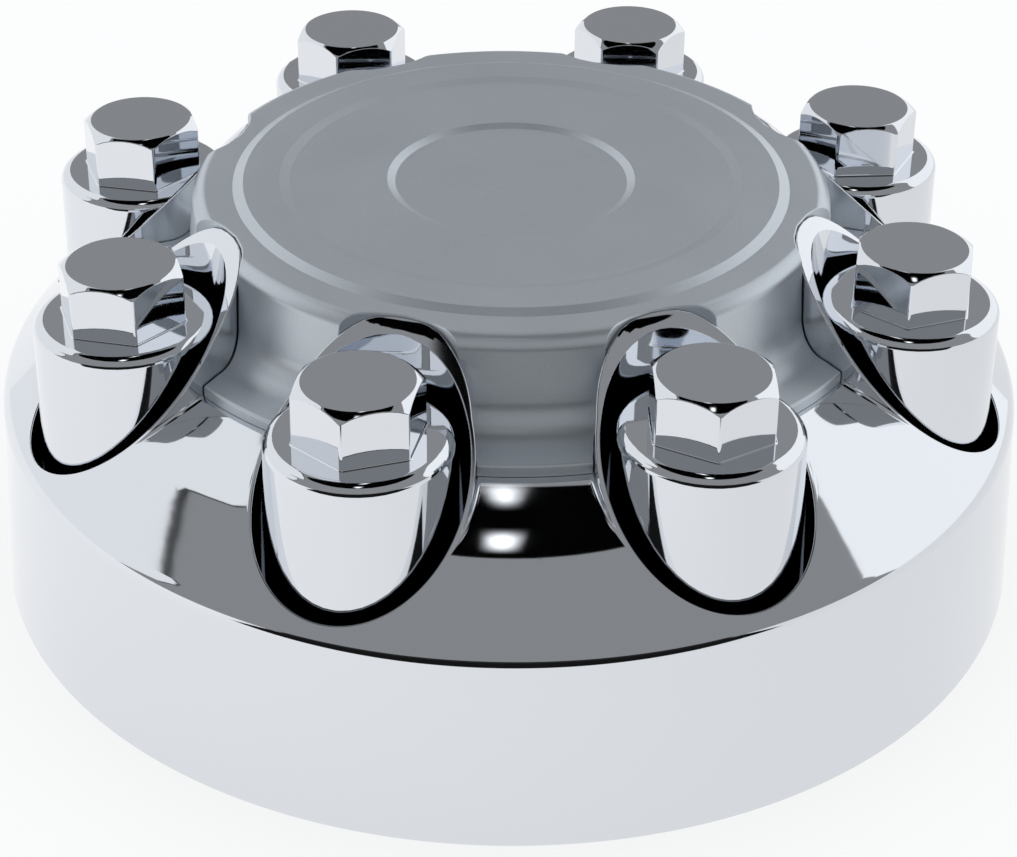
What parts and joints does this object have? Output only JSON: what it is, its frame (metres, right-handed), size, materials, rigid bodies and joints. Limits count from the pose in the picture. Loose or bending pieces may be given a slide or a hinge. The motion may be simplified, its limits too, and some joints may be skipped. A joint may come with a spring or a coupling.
{
  "type": "axle hub cover",
  "caption": "Chrome hub cover for a truck's front axle: drafted skirt, coned face with deep stud wells, separate hex-crowned nut covers and a satin stepped centre cap.",
  "frame": {"origin": "on the hub's axis, in the plane that the skirt's lower rim stands on", "axes": "+Z along the hub's axis, out of the wheel towards the centre cap; -Y towards the viewer, midway between two nut covers"},
  "size_m": [0.357, 0.3568, 0.139],
  "materials": {
    "chrome_plate": "mirror bright",
    "satin_plate": "fine satin"
  },
  "bodies": {
    "root": {"cover": "chrome_plate", "centre_cap": "satin_plate", "nut_cover_1": "chrome_plate", "nut_cover_2": "chrome_plate", "nut_cover_3": "chrome_plate", "nut_cover_4": "chrome_plate", "nut_cover_5": "chrome_plate", "nut_cover_6": "chrome_plate", "nut_cover_7": "chrome_plate", "nut_cover_8": "chrome_plate"}
  },
  "joints": []
}
